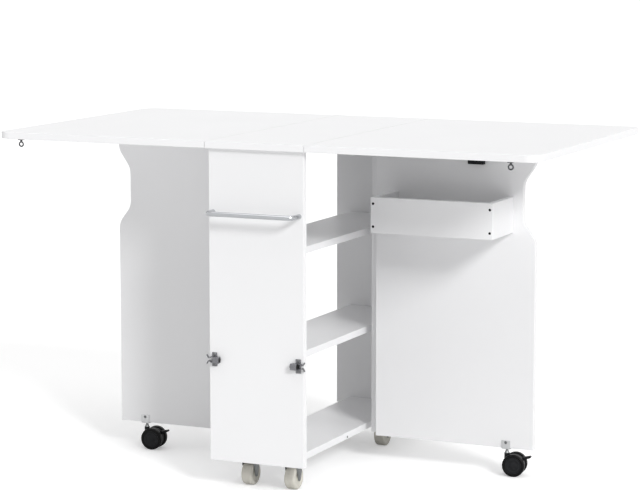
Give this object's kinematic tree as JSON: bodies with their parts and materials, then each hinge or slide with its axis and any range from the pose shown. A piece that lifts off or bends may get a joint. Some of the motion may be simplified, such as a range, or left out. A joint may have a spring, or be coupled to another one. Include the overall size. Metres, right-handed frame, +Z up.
{
  "type": "drop-leaf table",
  "caption": "Rolling drop-leaf table with an open shelf cabinet, swinging gate legs that carry the leaves, a gate tray, a towel bar and braked swivel casters.",
  "frame": {"origin": "on the floor, under the middle of the whole table with its towel bar", "axes": "+X along the long side to the right, +Y from the towel bar to the back, +Z up"},
  "size_m": [1.25, 0.7302, 0.75],
  "materials": {
    "tabletop_board": "white melamine-faced particle board, satin",
    "cabinet_board": "white melamine-faced particle board, satin",
    "gate_board": "white melamine-faced particle board, satin",
    "tray_board": "white melamine-faced particle board, satin",
    "beech": "plain turned dowel",
    "black_screw": "black oxide",
    "zinc_screw": "bright zinc",
    "zinc_steel": "bright zinc, pressed",
    "bar_chrome": "polished",
    "clip_nickel": "nickel, semi-bright",
    "core_rubber": "matt",
    "strike_black": "black oxide",
    "catch_plastic": "moulded, matt",
    "glide_nylon": "turned nylon",
    "caster_plastic": "moulded, fine grain",
    "caster_tread": "moulded, semi-gloss",
    "fork_steel": "pressed, zinc",
    "wheel_nylon": "moulded nylon, satin"
  },
  "bodies": {
    "cabinet": {"centre_top": "tabletop_board", "front_panel": "cabinet_board", "rear_panel": "cabinet_board", "right_side_panel": "cabinet_board", "left_side_panel": "cabinet_board", "bottom_shelf": "cabinet_board", "middle_shelf": "cabinet_board", "upper_shelf": "cabinet_board", "cabinet_dowels": "beech", "leaf_hinge_fixed_plates": "zinc_steel", "gate_hinge_fixed_plates": "zinc_steel", "hinge_pins": "zinc_steel", "towel_bar": "bar_chrome", "right_clip": "clip_nickel", "left_clip": "clip_nickel", "clip_cores": "core_rubber", "catch_angles": "zinc_steel", "cabinet_screws": "zinc_screw", "fixed_caster_forks": "fork_steel", "fixed_caster_axles": "zinc_steel"},
    "right_leaf_assembly": {"right_leaf": "tabletop_board", "right_leaf_hinge_plates": "zinc_steel", "right_leaf_screws": "zinc_screw", "right_strike": "strike_black"},
    "right_gate_assembly": {"right_gate": "gate_board", "right_gate_hinge_plates": "zinc_steel", "right_gate_catch": "catch_plastic", "right_gate_glide": "glide_nylon", "right_gate_screws": "zinc_screw", "right_caster_bracket": "zinc_steel", "tray_front": "tray_board", "tray_ends": "tray_board", "tray_base": "tray_board", "tray_screws": "black_screw"},
    "right_caster": {"right_caster_body": "caster_plastic", "right_caster_pins": "zinc_steel"},
    "right_brake_lever": {"right_caster_lever": "caster_plastic"},
    "right_caster_front_roller": {"right_caster_front_wheel": "caster_tread"},
    "right_caster_back_roller": {"right_caster_back_wheel": "caster_tread"},
    "left_leaf_assembly": {"left_leaf": "tabletop_board", "left_leaf_hinge_plates": "zinc_steel", "left_leaf_screws": "zinc_screw", "left_strike": "strike_black"},
    "left_gate_assembly": {"left_gate": "gate_board", "left_gate_hinge_plates": "zinc_steel", "left_gate_catch": "catch_plastic", "left_gate_glide": "glide_nylon", "left_gate_screws": "zinc_screw", "left_caster_bracket": "zinc_steel"},
    "left_caster": {"left_caster_body": "caster_plastic", "left_caster_pins": "zinc_steel"},
    "left_brake_lever": {"left_caster_lever": "caster_plastic"},
    "left_caster_front_roller": {"left_caster_front_wheel": "caster_tread"},
    "left_caster_back_roller": {"left_caster_back_wheel": "caster_tread"},
    "front_left_roller": {"front_left_wheel": "wheel_nylon"},
    "front_right_roller": {"front_right_wheel": "wheel_nylon"},
    "rear_left_roller": {"rear_left_wheel": "wheel_nylon"},
    "rear_right_roller": {"rear_right_wheel": "wheel_nylon"}
  },
  "joints": [
    {"name": "right_gate_swing", "type": "hinge", "parent": "cabinet", "child": "right_gate_assembly", "pos_m": [0.11205, 0.06938, 0.396], "axis": [0, 0, -1], "range_deg": [0, 90]},
    {"name": "left_gate_swing", "type": "hinge", "parent": "cabinet", "child": "left_gate_assembly", "pos_m": [-0.11205, -0.03913, 0.396], "axis": [0, 0, -1], "range_deg": [0, 90]},
    {"name": "right_leaf_lift", "type": "hinge", "parent": "cabinet", "child": "right_leaf_assembly", "pos_m": [0.115, 0.01512, 0.7343], "axis": [0, -1, 0], "range_deg": [0, 5]},
    {"name": "left_leaf_lift", "type": "hinge", "parent": "cabinet", "child": "left_leaf_assembly", "pos_m": [-0.115, 0.01512, 0.7343], "axis": [0, 1, 0], "range_deg": [0, 5]},
    {"name": "right_caster_swivel", "type": "hinge", "parent": "right_gate_assembly", "child": "right_caster", "pos_m": [0.424, 0.05983, 0.055], "axis": [0, 0, 1], "continuous": true},
    {"name": "right_caster_front_roll", "type": "hinge", "parent": "right_caster", "child": "right_caster_front_roller", "pos_m": [0.44137, 0.06196, 0.025], "axis": [-0.1219, 0.9925, 0], "continuous": true},
    {"name": "right_caster_back_roll", "type": "hinge", "parent": "right_caster", "child": "right_caster_back_roller", "pos_m": [0.44137, 0.06196, 0.025], "axis": [-0.1219, 0.9925, 0], "continuous": true},
    {"name": "right_brake_lever_press", "type": "hinge", "parent": "right_caster", "child": "right_brake_lever", "pos_m": [0.45278, 0.06336, 0.037], "axis": [-0.1219, 0.9925, 0], "range_deg": [0, 12]},
    {"name": "left_caster_swivel", "type": "hinge", "parent": "left_gate_assembly", "child": "left_caster", "pos_m": [-0.424, -0.02958, 0.055], "axis": [0, 0, 1], "continuous": true},
    {"name": "left_caster_front_roll", "type": "hinge", "parent": "left_caster", "child": "left_caster_front_roller", "pos_m": [-0.40654, -0.02835, 0.025], "axis": [-0.0698, 0.9976, 0], "continuous": true},
    {"name": "left_caster_back_roll", "type": "hinge", "parent": "left_caster", "child": "left_caster_back_roller", "pos_m": [-0.40654, -0.02835, 0.025], "axis": [-0.0698, 0.9976, 0], "continuous": true},
    {"name": "left_brake_lever_press", "type": "hinge", "parent": "left_caster", "child": "left_brake_lever", "pos_m": [-0.39507, -0.02755, 0.037], "axis": [-0.0698, 0.9976, 0], "range_deg": [0, 12]},
    {"name": "front_left_roll", "type": "hinge", "parent": "cabinet", "child": "front_left_roller", "pos_m": [-0.051, -0.24888, 0.025], "axis": [1, 0, 0], "continuous": true},
    {"name": "front_right_roll", "type": "hinge", "parent": "cabinet", "child": "front_right_roller", "pos_m": [0.051, -0.24888, 0.025], "axis": [1, 0, 0], "continuous": true},
    {"name": "rear_left_roll", "type": "hinge", "parent": "cabinet", "child": "rear_left_roller", "pos_m": [-0.06, 0.22012, 0.025], "axis": [1, 0, 0], "continuous": true},
    {"name": "rear_right_roll", "type": "hinge", "parent": "cabinet", "child": "rear_right_roller", "pos_m": [0.06, 0.22012, 0.025], "axis": [1, 0, 0], "continuous": true}
  ]
}
